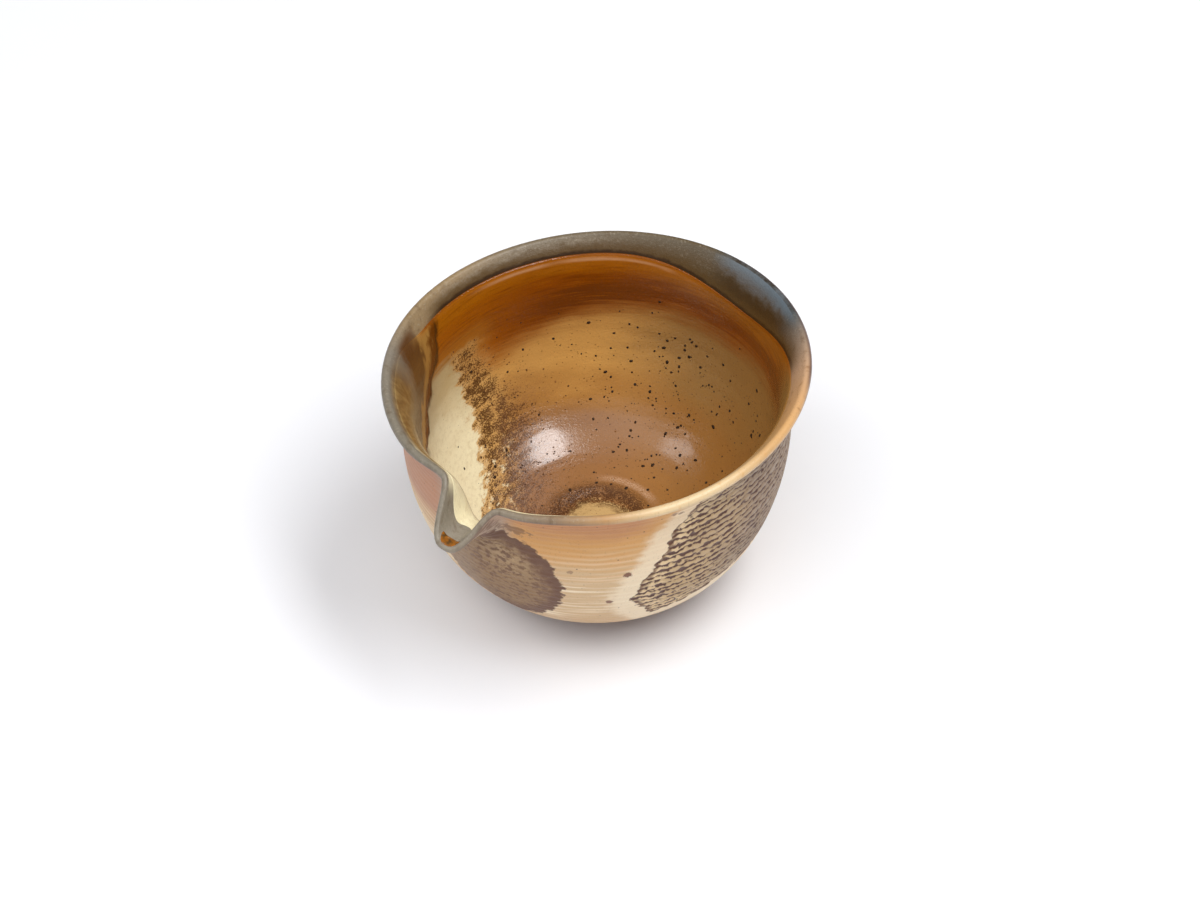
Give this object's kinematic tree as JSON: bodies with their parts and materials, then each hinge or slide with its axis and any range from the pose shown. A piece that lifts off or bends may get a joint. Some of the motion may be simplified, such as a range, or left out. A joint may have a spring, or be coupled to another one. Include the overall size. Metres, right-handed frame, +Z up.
{
  "type": "porcelain pouring bowl",
  "caption": "Wood-fired porcelain pouring bowl with a flared lip, a small pulled spout and a turned foot ring.",
  "frame": {"origin": "on the table, under the middle of the pitcher's footprint with its spout; the bowl's own axis stands 5.3 mm towards -X of it", "axes": "+X the way the spout pours, +Z up"},
  "size_m": [0.1345, 0.1163, 0.074],
  "materials": {
    "flashed_clay": "satin, flashed orange to cream with brown ash patches",
    "ashed_clay": "grey-green natural ash, satin",
    "bare_clay": "bare toasted clay, matte",
    "liner_glaze": "glossy amber glaze, speckled"
  },
  "bodies": {
    "root": {"bowl": "flashed_clay", "spout": "ashed_clay", "foot_ring": "bare_clay", "glaze_liner": "liner_glaze"}
  },
  "joints": []
}
